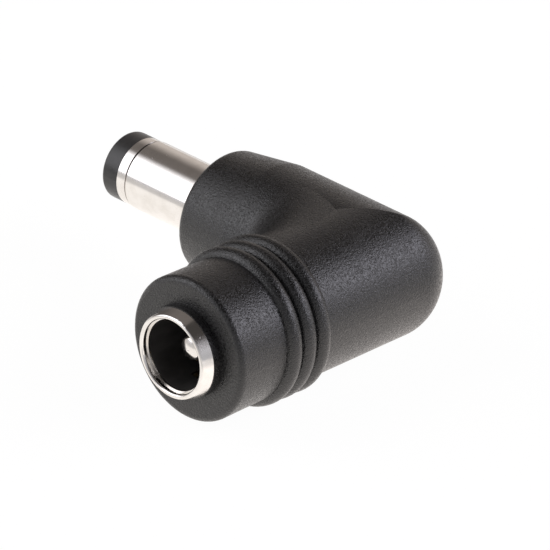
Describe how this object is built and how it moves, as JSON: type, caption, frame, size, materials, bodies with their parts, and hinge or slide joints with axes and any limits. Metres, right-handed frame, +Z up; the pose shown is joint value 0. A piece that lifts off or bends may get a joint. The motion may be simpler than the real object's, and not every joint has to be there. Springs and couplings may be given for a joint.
{
  "type": "right-angle dc barrel plug adaptor",
  "caption": "Right-angle DC power adaptor: a barrel socket turns through a ribbed black moulding into a slim barrel plug.",
  "frame": {"origin": "on the surface that the part lies on, under the middle of its box", "axes": "+Z up, at right angles to both arms; the socket arm points along -Y and the plug arm along -X"},
  "size_m": [0.0306, 0.0252, 0.0124],
  "materials": {
    "body": "soft black moulding compound with a fine matte grain",
    "plating": "bright nickel plating on turned brass",
    "insulator": "hard black plastic, satin",
    "spring_metal": "rolled spring bronze",
    "tag_metal": "stamped and tinned",
    "contact_metal": "turned brass, bright",
    "bush_plastic": "natural white plastic",
    "conductor": "bare copper",
    "red_insulation": "smooth red cover",
    "black_insulation": "smooth black cover",
    "solder": "soft grey solder, satin"
  },
  "bodies": {
    "root": {"moulded_body": "body", "socket_sleeve": "plating", "socket_liner": "insulator", "socket_base": "insulator", "socket_pin": "plating", "socket_spring": "spring_metal", "sleeve_tag": "tag_metal", "plug_barrel": "plating", "plug_tip": "insulator", "plug_contact": "contact_metal", "plug_bush": "bush_plastic", "barrel_tag": "tag_metal", "positive_wire": "conductor", "positive_insulation": "red_insulation", "negative_wire": "conductor", "negative_insulation": "black_insulation", "socket_pin_solder": "solder", "contact_solder": "solder", "sleeve_tag_solder": "solder", "barrel_tag_solder": "solder"}
  },
  "joints": []
}
